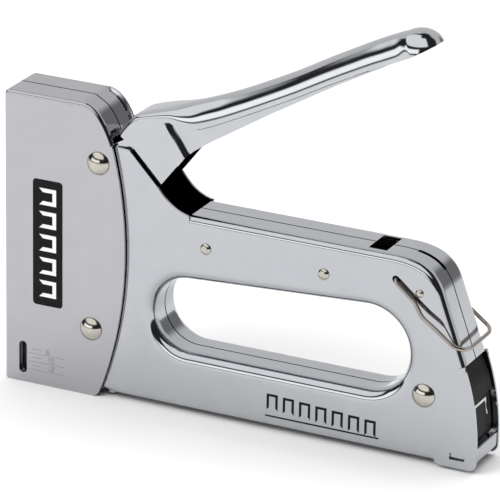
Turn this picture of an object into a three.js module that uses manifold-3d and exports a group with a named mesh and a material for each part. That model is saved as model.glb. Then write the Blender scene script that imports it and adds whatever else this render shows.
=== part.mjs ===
// A heavy-duty hand staple gun: pressed and chromed sheet steel, lever handle, spring-driven hammer,
// rear-loading staple rail and a wire bail that holds the handle down for storage.
// Millimetres, +Z up. The drawing frame has x = 0 at the nose's front face and z = 0 at the foot;
// the group shifts it so that the origin is the middle of the footprint. The tail is on +X.
import * as THREE from "three";
import { mergeVertices } from "three/addons/utils/BufferGeometryUtils.js";
import Module from "manifold-3d";

const wasm = await Module();
wasm.setup();

// ---------------------------------------------------------------- driving dimensions
const bodyLength = 187.5; // nose face to tail edge
const noseHeight = 112; // foot to the flat top of the nose
const halfWidth = 10.1; // middle plane to a body shell's outer face
const sheet = 0.9; // body and cover steel
const seam = 0.6; // slit between the left and right pressings
const fit = 0.3; // clearance between neighbouring pieces
const roll = 2.8; // outer radius of the pressed edges

const gripTop = 76.3; // height of the grip's back
const bellyZ = 2.0; // underside of the grip
const tailFootZ = 1.2; // underside of the tail block
const edgeArc = { x: -106, z: 57, r: 155 }; // the nose cover's bowed rear edge

const finger = { floor: 23.4, frontX: 73.9, frontR: 14, rearInset: 43.7, rearR: 16 };
const tail = { windowTop: 39.8, windowFloor: 3.4, capTop: 39.2, capFloor: 9.7, depth: 11.5 };

const pivot = { x: 38.3, drop: 21.7, pinR: 2.5 }; // handle pivot, measured down from the nose top
const handleGap = 0.4; // a cheek's clearance inside the nose wall
const handleSheet = 1.2;
const handleRoll = 7;
const hubR = 8;
const swing = 28; // degrees of handle travel

const headR = 4.4; // domed rivet head
const headH = 2.6;
const smallHeadR = 2.1;
const smallHeadH = 0.5;
const smallShankR = 1.4;
const nailGap = 0.2; // round a rivet's shank and under its head

const crownHalf = 5.3; // half of a staple's crown
const crownTop = 13.1; // height of the crown in the track
const stapleWire = 1.0;
const legBottom = 3.1;
const stripLength = 60;

const bladeX = 3.0; // front of the driver blade
const bladeT = 1.2;
const armReach = { x: 27.3, z: 12 }; // pivot to the lifting arm's tip
const tipR = 2.2;
const springR = 4.4; // main spring, mean radius
const springWire = 1.2;

const bailWire = 1.5;
const bailPivot = { inset: 32.6, z: 67.8 };

// ---------------------------------------------------------------- values that follow
const pivotX = pivot.x;
const pivotZ = noseHeight - pivot.drop;
const tailX = bodyLength;
const wallIn = halfWidth - sheet; // inner face of a body shell
const noseOut = halfWidth - fit; // the shell is set in under the cover
const noseIn = noseOut - sheet;
const handleHalf = noseIn - handleGap; // middle plane to a cheek's outer face
const coverIn = noseOut + fit;
const coverOut = coverIn + sheet;
const coverRoll = 1.0;
const slotTopZ = noseHeight - 14.7; // top of the handle slot's front lip
const far = 400; // longer than any piece, for cutters

// ---------------------------------------------------------------- materials
const metal = (color, roughness) => new THREE.MeshStandardMaterial({ color, roughness, metalness: 1 });
const plastic = (color, roughness) => new THREE.MeshStandardMaterial({ color, roughness, metalness: 0 });
const chrome = metal(0xc9ccd1, 0.12);
const nickel = metal(0xcfcabf, 0.2);
const springSteel = metal(0x6f7276, 0.35);
const zincSteel = metal(0x9a9ea3, 0.4);
const brightWire = metal(0xb9bcc0, 0.25);
const blackPlastic = plastic(0x141415, 0.45);
const blackRubber = plastic(0x1c1c1c, 0.85);

// ---------------------------------------------------------------- solids
// A closed geometry as a solid for cutting and joining.
function solid(geometry) {
  const bare = geometry.clone();
  bare.deleteAttribute("normal");
  bare.deleteAttribute("uv");
  const merged = mergeVertices(bare, 1e-4);
  const triVerts = new Uint32Array(merged.index.array);
  const vertProperties = merged.attributes.position.array;
  return new wasm.Manifold(new wasm.Mesh({ numProp: 3, vertProperties, triVerts }));
}

// A solid as a flat-shaded three.js geometry.
function geometryOf(body) {
  const { vertProperties, triVerts } = body.getMesh();
  const geometry = new THREE.BufferGeometry();
  geometry.setAttribute("position", new THREE.BufferAttribute(vertProperties, 3));
  geometry.setIndex(new THREE.BufferAttribute(triVerts, 1));
  const flat = geometry.toNonIndexed();
  flat.computeVertexNormals();
  return flat;
}

const join = (first, ...rest) => rest.reduce((sum, next) => sum.add(next), first);
const cut = (first, ...rest) => rest.reduce((sum, next) => sum.subtract(next), first);

// A block between two corners.
function block(x0, x1, y0, y1, z0, z1) {
  const box = new THREE.BoxGeometry(x1 - x0, y1 - y0, z1 - z0);
  return solid(box.translate((x0 + x1) / 2, (y0 + y1) / 2, (z0 + z1) / 2));
}

// A flat plate: an (x, z) outline between two planes of y.
function plate(shape, y0, y1, curveSegments = 8) {
  const slab = new THREE.ExtrudeGeometry(shape, { depth: y1 - y0, bevelEnabled: false, curveSegments });
  return solid(slab.rotateX(Math.PI / 2).translate(0, y1, 0));
}

// The same plate on both sides of the middle plane.
const platePair = (shape, y0, y1) => join(plate(shape, y0, y1), plate(shape, -y1, -y0));

// A dished pressing: the outline at its full size in the middle, its edges rolled over to the two
// sides at y = +half and -half. inset gives the same pressing's inner skin.
function pressing(shape, half, radius, inset = 0, steps = 3) {
  const bevel = radius - inset;
  const depth = 2 * (half - inset) - 2 * bevel;
  const slab = new THREE.ExtrudeGeometry(shape, {
    depth,
    bevelThickness: bevel,
    bevelSize: bevel,
    bevelOffset: -radius,
    bevelSegments: steps,
    curveSegments: 8,
  });
  return solid(slab.rotateX(Math.PI / 2).translate(0, depth / 2, 0));
}

// A cylinder across the gun, along y.
function crossPin(x, z, radius, y0 = -far, y1 = far, sides = 20) {
  return solid(new THREE.CylinderGeometry(radius, radius, y1 - y0, sides).translate(x, (y0 + y1) / 2, z));
}

// An outline through straight corners.
function polygon(...corners) {
  return new THREE.Shape(corners.map(([x, z]) => new THREE.Vector2(x, z)));
}

// A wire or rod swept along a curve.
function sweep(curve, radius, steps, sides = 8) {
  const section = new THREE.Shape();
  for (let i = 0; i < sides; i += 1) {
    const angle = (2 * Math.PI * i) / sides;
    const corner = [radius * Math.cos(angle), radius * Math.sin(angle)];
    if (i === 0) section.moveTo(...corner);
    else section.lineTo(...corner);
  }
  return solid(new THREE.ExtrudeGeometry(section, { steps, extrudePath: curve, bevelEnabled: false }));
}

// A helix about the z axis, from z0 to z1.
class Helix extends THREE.Curve {
  constructor(radius, z0, z1, turns) {
    super();
    Object.assign(this, { radius, z0, z1, turns });
  }
  getPoint(t, target = new THREE.Vector3()) {
    const angle = 2 * Math.PI * this.turns * t;
    const z = this.z0 + (this.z1 - this.z0) * t;
    return target.set(this.radius * Math.cos(angle), this.radius * Math.sin(angle), z);
  }
}

// A coil spring standing on the z axis, its wire's surfaces between z0 and z1.
function coil(radius, wire, z0, z1, turns, perTurn = 10) {
  const path = new Helix(radius, z0 + wire, z1 - wire, turns);
  return sweep(path, wire / 2, Math.round(turns * perTurn), 6);
}

const gun = new THREE.Group();
gun.position.x = -bodyLength / 2;
function add(name, body, material) {
  const mesh = new THREE.Mesh(geometryOf(body), material);
  mesh.name = name;
  gun.add(mesh);
}

// Both halves of a piece that is split down the middle plane.
function addHalves(name, body, material) {
  add(name + "_left", body.intersect(block(-far, far, -far, -seam / 2, -far, far)), material);
  add(name + "_right", body.intersect(block(-far, far, seam / 2, far, -far, far)), material);
}

// ---------------------------------------------------------------- nose outline
const arcX = (z, offset = 0) => edgeArc.x + Math.sqrt((edgeArc.r + offset) ** 2 - (z - edgeArc.z) ** 2);
const arcAngle = (z, offset = 0) => Math.asin((z - edgeArc.z) / (edgeArc.r + offset));
const shoulderZ = noseHeight - 16; // where the bowed edge runs into the rear corner

// The rounded rear corner, drawn from the bowed edge up to the flat top.
function rearCorner(shape, inset) {
  const top = noseHeight - inset;
  const x = arcX(shoulderZ) - inset;
  const middle = inset * Math.SQRT1_2;
  shape.bezierCurveTo(x - 1.5, shoulderZ + 5.5, x - 5 - middle, noseHeight - 1.5 - middle, x - 10.7, top);
}

function coverOutline() {
  const heel = 3; // the bottom rear corner is eased by this much
  const shape = new THREE.Shape();
  shape.moveTo(0, 0);
  shape.lineTo(arcX(0) - heel, 0);
  shape.absarc(edgeArc.x, edgeArc.z, edgeArc.r, arcAngle(heel), arcAngle(shoulderZ), false);
  rearCorner(shape, 0);
  shape.lineTo(0, noseHeight);
  return shape;
}

// The room inside the cover, open at the bottom and behind the lip of the rear corner.
function coverRoom() {
  const lipZ = shoulderZ + 3;
  const shape = new THREE.Shape();
  shape.moveTo(sheet, -far);
  shape.lineTo(far, -far);
  shape.lineTo(far, lipZ);
  shape.lineTo(arcX(shoulderZ) - sheet, lipZ);
  rearCorner(shape, sheet);
  shape.lineTo(sheet, noseHeight - sheet);
  return shape;
}

// The shell's flat nose wall, which the cover hides.
function noseWall() {
  const inset = sheet + fit;
  const shape = new THREE.Shape();
  shape.moveTo(inset, bellyZ + sheet);
  shape.lineTo(arcX(edgeArc.z) + 5, bellyZ + sheet);
  shape.lineTo(arcX(edgeArc.z) + 5, gripTop + 3);
  shape.lineTo(arcX(slotTopZ) + 5, slotTopZ - 5);
  shape.lineTo(arcX(slotTopZ) + 1, slotTopZ - 0.5);
  shape.lineTo(arcX(shoulderZ) - inset, shoulderZ + 1);
  rearCorner(shape, inset);
  shape.lineTo(inset, noseHeight - inset);
  return shape;
}

// ---------------------------------------------------------------- body outline
const slotKnee = { x: 61.5, z: gripTop + 8.9 };
const slotEndX = 74.2;
const bend = { startX: tailX - 35.5, endX: tailX - 15.4, endZ: gripTop - 10 };
const stepX = tailX - 16;

// The slanted lip that the handle swings down through, drawn from the nose to the grip's back.
function slotLip(shape) {
  shape.lineTo(49.8, slotTopZ);
  shape.lineTo(slotKnee.x, slotKnee.z);
  shape.quadraticCurveTo(66.8, gripTop + 1.2, slotEndX, gripTop);
}

// The tail's rear edge, drawn downwards.
function tailEdge(shape, inset) {
  const x = tailX - inset;
  shape.bezierCurveTo(x - 2.3, 31, x, 20, x, 10);
}

function gripOutline() {
  const shape = new THREE.Shape();
  const [from, to] = [arcAngle(bellyZ, fit), arcAngle(slotTopZ, fit)];
  shape.absarc(edgeArc.x, edgeArc.z, edgeArc.r + fit, from, to, false);
  slotLip(shape);
  shape.lineTo(bend.startX, gripTop);
  shape.bezierCurveTo(bend.startX + 9, gripTop, bend.endX - 3.7, gripTop - 1.6, bend.endX, bend.endZ);
  shape.lineTo(tailX - 5.7, tail.windowTop);
  tailEdge(shape, 0);
  shape.lineTo(tailX, tailFootZ + 3);
  shape.lineTo(tailX - 3, tailFootZ);
  shape.lineTo(stepX + 1.8, tailFootZ);
  shape.lineTo(stepX, bellyZ);
  shape.holes.push(fingerHole());
  return shape;
}

// Two round ends on one level floor, joined by their common tangents.
function fingerHole() {
  const rearX = tailX - finger.rearInset;
  const lean = 2 * Math.atan2(finger.rearR - finger.frontR, rearX - finger.frontX);
  const hole = new THREE.Path();
  const top = Math.PI / 2 + lean;
  const bottom = 1.5 * Math.PI;
  hole.absarc(finger.frontX, finger.floor + finger.frontR, finger.frontR, top, bottom, false);
  hole.absarc(rearX, finger.floor + finger.rearR, finger.rearR, bottom, top + 2 * Math.PI, false);
  return hole;
}

// Flat steel that squares off the rolled form along the handle slot.
function slotWall() {
  const shape = new THREE.Shape();
  shape.moveTo(arcX(slotTopZ) + 4, slotTopZ);
  slotLip(shape);
  shape.lineTo(slotEndX, gripTop - 5);
  shape.lineTo(arcX(edgeArc.z) + 5, gripTop - 5);
  return shape;
}

// Flat steel that squares off the rolled form beside the tail window.
function tailWall() {
  const shape = new THREE.Shape();
  shape.moveTo(tailX - tail.depth, tail.windowTop);
  shape.lineTo(tailX - 5.7, tail.windowTop);
  tailEdge(shape, 0);
  shape.lineTo(tailX, tailFootZ + 3);
  shape.quadraticCurveTo(tailX, tailFootZ, tailX - 3, tailFootZ);
  shape.lineTo(tailX - tail.depth, tailFootZ);
  return shape;
}

// ---------------------------------------------------------------- rivets
const bigHeads = {
  handle_pivot_rivet: { x: pivotX, z: pivotZ, face: coverOut, shank: pivot.pinR },
  nose_rivet: { x: 35.6, z: 26.1, face: coverOut, shank: pivot.pinR },
  tail_rivet: { x: tailX - 20.8, z: 26.3, face: halfWidth, shank: pivot.pinR },
};
const smallHeads = {
  grip_rivet_front: { x: 81, z: gripTop - 11.1, face: halfWidth, shank: smallShankR },
  grip_rivet_rear: { x: tailX - 60.3, z: gripTop - 11.8, face: halfWidth, shank: smallShankR },
  bail_stop_pin: { x: tailX - 23.5, z: gripTop - 12.1, face: halfWidth - 0.4, shank: 1.1 },
};
const allRivets = [...Object.values(bigHeads), ...Object.values(smallHeads)];

// A rivet with a low dome on each end, across the gun.
function rivet({ x, z, face, shank }, head, height) {
  const seat = face + nailGap;
  const profile = [[0, seat + height]];
  const steps = 4;
  for (let i = 1; i <= steps; i += 1) {
    const angle = (i / steps) * (Math.PI / 2);
    profile.push([head * Math.sin(angle), seat + height * Math.cos(angle)]);
  }
  profile.push([shank, seat]);
  const lower = profile.map(([r, y]) => [r, -y]);
  const points = [...lower, ...profile.reverse()].map(([r, y]) => new THREE.Vector2(r, y));
  return solid(new THREE.LatheGeometry(points, 18).translate(x, 0, z));
}

for (const [name, place] of Object.entries(bigHeads)) add(name, rivet(place, headR, headH), nickel);
for (const [name, place] of Object.entries(smallHeads)) {
  const head = name === "bail_stop_pin" ? place.shank + nailGap / 4 : smallHeadR;
  add(name, rivet(place, head, smallHeadH), nickel);
}
const rivetHoles = allRivets.map(({ x, z, shank }) => crossPin(x, z, shank + nailGap));

// ---------------------------------------------------------------- body shells
const bailX = tailX - bailPivot.inset;
const hatch = { x0: tailX - 45, x1: tailX - 38, half: 6.5 }; // oblong hole in the grip's back
const keySlot = { x0: tailX - 29, x1: tailX - 18, half: 0.9 }; // short slit at the rear bend
const latchSlot = { x0: tailX - 10.3, x1: tailX - 4.4, z0: 4.1, z1: 6.7 };
const railSlotHalf = crownHalf + 1.9; // the belly is open this wide for the staple rail
const window = { x: 7.6, half: 1.6, z0: 3.5, z1: 15.9 }; // staple window in the nose

// The staple window: an upright slot with round ends.
function windowCutter(reach) {
  const slot = new THREE.Shape();
  slot.absarc(window.x, window.z1 - window.half, window.half, 0, Math.PI, false);
  slot.absarc(window.x, window.z0 + window.half, window.half, Math.PI, 2 * Math.PI, false);
  return plate(slot, -reach, reach, 6);
}

const grip = gripOutline();
const frontRoom = polygon(
  [0, bellyZ + sheet],
  [arcX(edgeArc.z) + 4, bellyZ + sheet],
  [arcX(edgeArc.z) + 4, gripTop - 3],
  [slotEndX, gripTop - 3],
  [slotEndX, far],
  [0, far],
);
const tailRoom = polygon(
  [tailX - tail.depth, tail.windowFloor - fit],
  [far, tail.windowFloor - fit],
  [far, tail.windowTop],
  [tailX - tail.depth - 5, tail.windowTop],
);
const shells = cut(
  join(
    cut(
      pressing(grip, halfWidth, roll),
      pressing(grip, halfWidth, roll, sheet),
      plate(frontRoom, -wallIn, wallIn),
      plate(tailRoom, -wallIn, wallIn),
    ),
    platePair(noseWall(), noseIn, noseOut),
    platePair(slotWall(), wallIn, halfWidth),
    platePair(tailWall(), wallIn, halfWidth),
  ),
  block(-far, stepX + 2, -railSlotHalf, railSlotHalf, -far, bellyZ + sheet + fit),
  block(hatch.x0, hatch.x1, -hatch.half, hatch.half, gripTop - 5, far),
  block(keySlot.x0, keySlot.x1, -keySlot.half, keySlot.half, bend.endZ, far),
  block(latchSlot.x0, latchSlot.x1, -far, far, latchSlot.z0, latchSlot.z1),
  crossPin(bailX, bailPivot.z, bailWire / 2 + fit),
  windowCutter(coverOut + fit),
  ...rivetHoles,
);
addHalves("body_shell", shells, chrome);

// ---------------------------------------------------------------- nose cover
const cover = cut(
  pressing(coverOutline(), coverOut, coverRoll),
  plate(coverRoom(), -coverIn, coverIn),
  windowCutter(coverOut + fit),
  ...rivetHoles,
);
addHalves("nose_cover", cover, chrome);

// ---------------------------------------------------------------- handle
// Corners and curves are measured from the pivot.
const at = (x, z) => [pivotX + x, pivotZ + z];
// The arm's crest, from the top of the front slope over the spoon to its tip.
const crest = [
  [11.8, 19], [19.8, 22.2], [32.7, 26.2], [52.7, 34.1], [73.3, 44.4], [86.2, 52], [99.7, 58.8],
  [110, 64], [116.7, 66.9], [120.8, 67], [126.8, 63.3],
];
// The free lower edge, from the cheek's bottom corner along the skirt to the spoon's rim.
const skirt = [
  [23.1, -5.6], [32.1, 6], [36, 9.7], [41.4, 13.5], [65.8, 28.8], [90.5, 43.4], [108.6, 53.4], [115.5, 56.6],
];
const frontSlope = [[6.1, 11.8], [7.8, 8.3]];
const fromPivot = (points) => points.map(([x, z]) => at(x, z));

// The side view of the finished handle: hub, cheek, skirt and spoon.
function handleOutline() {
  const back = [...crest].reverse();
  const shape = polygon(...fromPivot([...skirt, ...back, ...frontSlope]));
  shape.autoClose = false;
  shape.absarc(pivotX, pivotZ, hubR, Math.PI / 3, 1.5 * Math.PI, false);
  return shape;
}

// The rolled form that the handle is cut from, with room below for its open underside.
function handleForm() {
  const [front, below] = [-40, -60];
  const [slopeFoot] = frontSlope;
  const [tip] = crest.slice(-1);
  const corners = [[front, below], [front, slopeFoot[1]], slopeFoot, ...crest, [tip[0] + 12, below]];
  return polygon(...fromPivot(corners));
}

const form = handleForm();
const handle = cut(
  plate(handleOutline(), -handleHalf, handleHalf, 6).intersect(pressing(form, handleHalf, handleRoll, 0, 4)),
  pressing(form, handleHalf, handleRoll, handleSheet, 4),
  crossPin(pivotX, pivotZ, pivot.pinR + fit),
);
add("handle_lever", handle, chrome);

// ---------------------------------------------------------------- lifting arm
// Two arms on the pivot that reach forward under the hammer's ears, tied behind the pivot.
const armOut = handleHalf - handleSheet - fit;
const armT = 1.4;
const armIn = armOut - armT;
const tie = { x0: 14, x1: 20, z0: 3, z1: 5 };
const armHubR = 5;

function armOutline() {
  const side = Math.atan2(-armReach.z, -armReach.x) - Math.PI / 2;
  const shape = new THREE.Shape();
  shape.absarc(pivotX - armReach.x, pivotZ - armReach.z, tipR, side, side - Math.PI, true);
  shape.lineTo(...at(armHubR * Math.cos(side - Math.PI), armHubR * Math.sin(side - Math.PI)));
  shape.lineTo(...at(5, -3));
  shape.lineTo(...at(tie.x1, tie.z0 - 2));
  shape.lineTo(...at(tie.x1, tie.z1));
  shape.lineTo(...at(tie.x0, tie.z1));
  shape.lineTo(...at(armHubR * Math.cos(side), armHubR * Math.sin(side)));
  return shape;
}

const arms = cut(
  join(
    platePair(armOutline(), armIn, armOut),
    block(pivotX + tie.x0, pivotX + tie.x1, -armOut, armOut, pivotZ + tie.z0, pivotZ + tie.z1),
  ),
  crossPin(pivotX, pivotZ, pivot.pinR + fit),
);
add("lifting_arm", arms, zincSteel);

// The return spring: a coil on the pivot with one leg forward and one leg back.
class TorsionPath extends THREE.Curve {
  constructor(radius, half, turns, leg) {
    super();
    Object.assign(this, { radius, half, turns, leg });
  }
  getPoint(t, target = new THREE.Vector3()) {
    const share = 0.1;
    const { radius, half, turns, leg } = this;
    if (t < share) return target.set(-leg * (1 - t / share), -half, -radius);
    if (t > 1 - share) return target.set(leg * ((t - 1 + share) / share), half, -radius);
    const u = (t - share) / (1 - 2 * share);
    const angle = 2 * Math.PI * turns * u;
    return target.set(radius * Math.sin(angle), half * (2 * u - 1), -radius * Math.cos(angle));
  }
}
const torsionR = pivot.pinR + 1.9;
const torsionPath = new TorsionPath(torsionR, armIn - 1.5, 4, 9);
const torsion = sweep(torsionPath, 0.5, 60, 6).translate([pivotX, 0, pivotZ]);
add("handle_return_spring", torsion, springSteel);

// ---------------------------------------------------------------- hammer and main spring
const armAngle = Math.atan2(armReach.z, armReach.x); // how far the arm points down at rest
const armLength = Math.hypot(armReach.x, armReach.z);
const lift = armReach.z + armLength * Math.sin(THREE.MathUtils.degToRad(swing) - armAngle);
const hammerX = bladeX + bladeT + 0.4;
const web = 1.2;
const tipX = pivotX - armReach.x;
const earZ = pivotZ - armReach.z + tipR + fit;
const earX = tipX - 1;
const hammerTop = earZ + 5;
const shelf = { z0: 44, z1: 47.5 };
const springX = hammerX + web + springR + springWire / 2 + 1.5;
const capZ = noseHeight - 8;

const hammer = join(
  block(hammerX, hammerX + web, -armOut, armOut, shelf.z0, hammerTop),
  block(hammerX, springX + springR, -springR - springWire / 2, springR + springWire / 2, shelf.z0, shelf.z1),
  block(hammerX, earX, armIn, armOut, earZ, earZ + 3),
  block(hammerX, earX, -armOut, -armIn, earZ, earZ + 3),
);
add("hammer", hammer, zincSteel);
add("driver_blade", block(bladeX, bladeX + bladeT, -crownHalf, crownHalf, 1, shelf.z1 + 12), zincSteel);

const springTurns = 11;
const mainSpring = coil(springR, springWire, shelf.z1 + 0.1, capZ - 0.1, springTurns);
add("main_spring", mainSpring.translate([springX, 0, 0]), springSteel);

const capTopZ = noseHeight - sheet - fit;
const capProfile = [[0, capZ], [6.4, capZ], [6.4, capZ + 2.2], [3, capZ + 2.2], [3, capTopZ]];
const capPoints = [...capProfile, [0, capTopZ]].map(([r, z]) => new THREE.Vector2(r, z));
const cap = solid(new THREE.LatheGeometry(capPoints, 24).rotateX(Math.PI / 2));
add("spring_cap", cap.translate([springX, 0, 0]), zincSteel);

// The guide cage round the hammer, with the rubber stop on its floor.
const cage = { x1: 24, floor: 34, thick: 1.6, top: hammerTop + lift };
const cageIn = armOut + fit;
const cageOut = cageIn + 1;
const guide = join(
  block(hammerX, cage.x1, cageIn, cageOut, cage.floor, cage.top),
  block(hammerX, cage.x1, -cageOut, -cageIn, cage.floor, cage.top),
  block(hammerX, cage.x1, -cageOut, cageOut, cage.floor, cage.floor + cage.thick),
);
add("hammer_guide", guide, zincSteel);
const stopZ = cage.floor + cage.thick + fit;
add("rubber_stop", block(hammerX + 0.6, springX + springR, -5.4, 5.4, stopZ, shelf.z0 - fit), blackRubber);

// The striker plate closes the front of the staple exit; its end is the foot of the gun.
const footT = 1.2;
const footX = sheet + fit;
add("nose_foot_plate", block(footX, footX + footT, -noseIn + fit, noseIn - fit, 0, 42), zincSteel);

// ---------------------------------------------------------------- staple track, rail and pusher
const trackX1 = tailX - 22;
const trackIn = crownHalf + 0.5;
const trackOut = trackIn + 1;
const trackTop = crownTop + fit + 0.9;
const track = cut(
  block(hammerX, trackX1, -trackOut, trackOut, legBottom - 0.5, trackTop),
  block(-far, far, -trackIn, trackIn, -far, crownTop + fit),
);
add("staple_track", track, zincSteel);

const legIn = crownHalf - stapleWire;
const strip = cut(
  block(hammerX + fit, hammerX + fit + stripLength, -crownHalf, crownHalf, legBottom, crownTop),
  block(-far, far, -legIn, legIn, -far, crownTop - stapleWire),
);
add("staple_strip", strip, brightWire);

const railHalf = legIn - 0.4;
const railTop = crownTop - stapleWire - 0.4;
const railWall = 0.8;
const railInner = railHalf - railWall;
const railFloor = legBottom + 0.4;
const railX0 = hammerX + fit;
const railX1 = tailX - tail.depth - fit;
const railEnd = 1.5;
const rail = cut(
  block(railX0, railX1, -railHalf, railHalf, railFloor, railTop),
  block(railX0 + railEnd, railX1 - railEnd, -railInner, railInner, -far, railTop - railWall),
  block(railX0 + 6, railX1 - 6, -0.9, 0.9, 0, far),
);
add("staple_rail", rail, zincSteel);

const rodR = 1;
const rodZ = 7;
const rodLength = railX1 - railX0 - 2 * railEnd - 2 * fit;
const lengthwiseRod = (radius, length) =>
  solid(new THREE.CylinderGeometry(radius, radius, length, 12).rotateZ(Math.PI / 2));
const rod = lengthwiseRod(rodR, rodLength);
add("pusher_rod", rod.translate([(railX0 + railX1) / 2, 0, rodZ]), brightWire);

const tongueHalf = railInner - 0.5;
const pusherX0 = railX0 + stripLength + 0.4;
const pusherX1 = pusherX0 + 12;
const pusher = cut(
  join(
    cut(
      block(pusherX0, pusherX1, -crownHalf, crownHalf, 4, crownTop - 0.1),
      block(-far, far, -railHalf - fit, railHalf + fit, -far, railTop + fit),
    ),
    block(pusherX0 + 1, pusherX1 - 1, -0.5, 0.5, rodZ + rodR, railTop + 0.6),
    block(pusherX0 + 1, pusherX1, -tongueHalf, tongueHalf, rodZ - 2.4, rodZ + 2.4),
  ),
  lengthwiseRod(rodR + fit, far).translate([0, 0, rodZ]),
);
add("pusher", pusher, zincSteel);

const pushSpringX0 = pusherX1 + 0.2;
const pushSpringX1 = railX1 - railEnd - 0.2;
const pushTurns = 19;
const pushCoilR = (rodR + railInner) / 2;
const pushCoil = coil(pushCoilR, 0.7, 0, pushSpringX1 - pushSpringX0, pushTurns, 8).rotate([0, 90, 0]);
add("pusher_spring", pushCoil.translate([pushSpringX0, 0, rodZ]), springSteel);

// ---------------------------------------------------------------- tail block
// The black moulded end of the staple rail fills the window between the tail walls.
const capInset = 0.8;
const capHalf = wallIn - 0.4;
function endCapOutline() {
  const shape = new THREE.Shape();
  shape.moveTo(tailX - tail.depth, tail.capFloor);
  shape.lineTo(tailX - tail.depth, tail.capTop);
  shape.lineTo(tailX - 5.7 - capInset, tail.capTop);
  tailEdge(shape, capInset);
  shape.lineTo(tailX - capInset, tail.capFloor);
  return shape;
}
add("rail_end_cap", plate(endCapOutline(), -capHalf, capHalf), blackPlastic);

const tab = { z0: tail.windowFloor, z1: tail.capFloor - fit, thick: 1 };
const latch = join(
  block(tailX - tail.depth, tailX - 0.3, -capHalf, capHalf, tab.z0, tab.z0 + tab.thick),
  block(tailX - 0.3 - tab.thick, tailX - 0.3, -capHalf, capHalf, tab.z0, tab.z1),
);
add("rail_latch_tab", latch, chrome);

// ---------------------------------------------------------------- bail
// One length of spring wire hooked into the two shells, which swings up over the pressed handle.
function bailPath() {
  const side = halfWidth + bailWire / 2 + 0.45;
  const wide = side + 2;
  const half = [
    [bailX, 7.6, bailPivot.z],
    [bailX, side - 0.7, bailPivot.z],
    [bailX + 0.6, side, bailPivot.z - 0.6],
    [bailX + 7.8, side, bailPivot.z - 6.6],
    [bailX + 11.4, wide - 0.3, bailPivot.z - 10.8],
    [bailX + 17.3, wide, bailPivot.z - 14.6],
    [bailX + 24, wide, bailPivot.z - 19.6],
    [bailX + 26.8, wide - 1.6, bailPivot.z - 20.6],
    [bailX + 28.2, wide - 5, bailPivot.z - 21],
  ];
  const left = half.map(([x, y, z]) => new THREE.Vector3(x, -y, z));
  const right = half.map(([x, y, z]) => new THREE.Vector3(x, y, z)).reverse();
  return new THREE.CatmullRomCurve3([...left, ...right], false, "centripetal");
}
add("handle_bail", sweep(bailPath(), bailWire / 2, 76), springSteel);

export default gun;
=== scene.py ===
"""A heavy-duty hand staple gun on a pale studio floor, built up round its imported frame.

Lengths in the sections below are millimetres from the nose's front face (x), the middle plane (y)
and the foot (z); a mesh is turned into metres in the frame's own axes as it is made.
"""
import math

import bmesh
import bpy
import numpy as np
from mathutils import Matrix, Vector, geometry


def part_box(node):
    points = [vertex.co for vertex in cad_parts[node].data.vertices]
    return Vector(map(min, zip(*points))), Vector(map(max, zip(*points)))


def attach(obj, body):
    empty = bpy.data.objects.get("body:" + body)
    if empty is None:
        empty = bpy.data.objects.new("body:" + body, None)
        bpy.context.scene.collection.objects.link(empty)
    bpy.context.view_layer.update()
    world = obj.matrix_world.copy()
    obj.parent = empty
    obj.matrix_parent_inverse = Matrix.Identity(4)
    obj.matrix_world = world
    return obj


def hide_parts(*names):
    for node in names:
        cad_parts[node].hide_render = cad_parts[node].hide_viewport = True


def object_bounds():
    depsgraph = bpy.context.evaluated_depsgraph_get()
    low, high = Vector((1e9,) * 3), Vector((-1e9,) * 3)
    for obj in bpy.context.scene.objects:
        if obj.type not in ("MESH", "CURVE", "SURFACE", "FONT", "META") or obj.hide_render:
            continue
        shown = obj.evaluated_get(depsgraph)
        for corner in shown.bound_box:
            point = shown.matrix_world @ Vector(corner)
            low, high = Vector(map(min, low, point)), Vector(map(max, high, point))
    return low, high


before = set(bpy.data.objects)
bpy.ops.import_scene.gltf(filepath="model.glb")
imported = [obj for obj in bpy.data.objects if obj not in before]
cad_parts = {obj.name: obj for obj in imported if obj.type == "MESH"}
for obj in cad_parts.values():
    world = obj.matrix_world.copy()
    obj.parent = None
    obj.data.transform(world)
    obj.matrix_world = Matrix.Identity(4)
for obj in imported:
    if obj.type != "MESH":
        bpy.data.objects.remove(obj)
cad_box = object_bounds()

# ---------------------------------------------------------------- studio
# A pale, matt floor under two soft lights. Round it stand a bright wall behind with a dim doorway, a
# low bright card and a softbox in front, and darkness between: polished metal shows little but these.
MM = 0.001


def srgb(code):
    """A colour from its sRGB hex code: each channel by the sRGB curve to linear light, alpha one."""
    values = np.array([int(code[i:i + 2], 16) for i in (0, 2, 4)]) / 255
    linear = np.where(values <= 0.04045, values / 12.92, ((values + 0.055) / 1.055) ** 2.4)
    return (*linear.tolist(), 1.0)


def node(tree, kind, values=None, links=None):
    """Adds a shader node, sets its fields and sockets, and feeds inputs from sockets, nodes or numbers."""
    made = tree.nodes.new("ShaderNode" + kind)
    for key, value in (values or {}).items():
        if isinstance(key, str) and hasattr(made, key):
            setattr(made, key, value)
        else:
            made.inputs[key].default_value = value
    for key, source in (links or {}).items():
        if isinstance(source, (int, float)):
            made.inputs[key].default_value = source
        else:
            tree.links.new(source.outputs[0] if hasattr(source, "outputs") else source, made.inputs[key])
    return made


def ramp_stops(ramp, stops):
    """Sets a colour ramp to (place, colour) stops, in order."""
    elements = ramp.color_ramp.elements
    while len(elements) < len(stops):
        elements.new(1.0)
    for element, (place, colour) in zip(elements, stops):
        element.position = place
        element.color = colour


def new_material(name):
    """An empty node material with its output node."""
    made = bpy.data.materials.new(name)
    made.use_nodes = True
    made.node_tree.nodes.clear()
    return made, made.node_tree


def finish_material(tree, settings, links):
    """Ends a material in one Principled shader, set and fed as told, on its output."""
    shader = node(tree, "BsdfPrincipled", settings, links)
    node(tree, "OutputMaterial", links={"Surface": shader})


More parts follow.
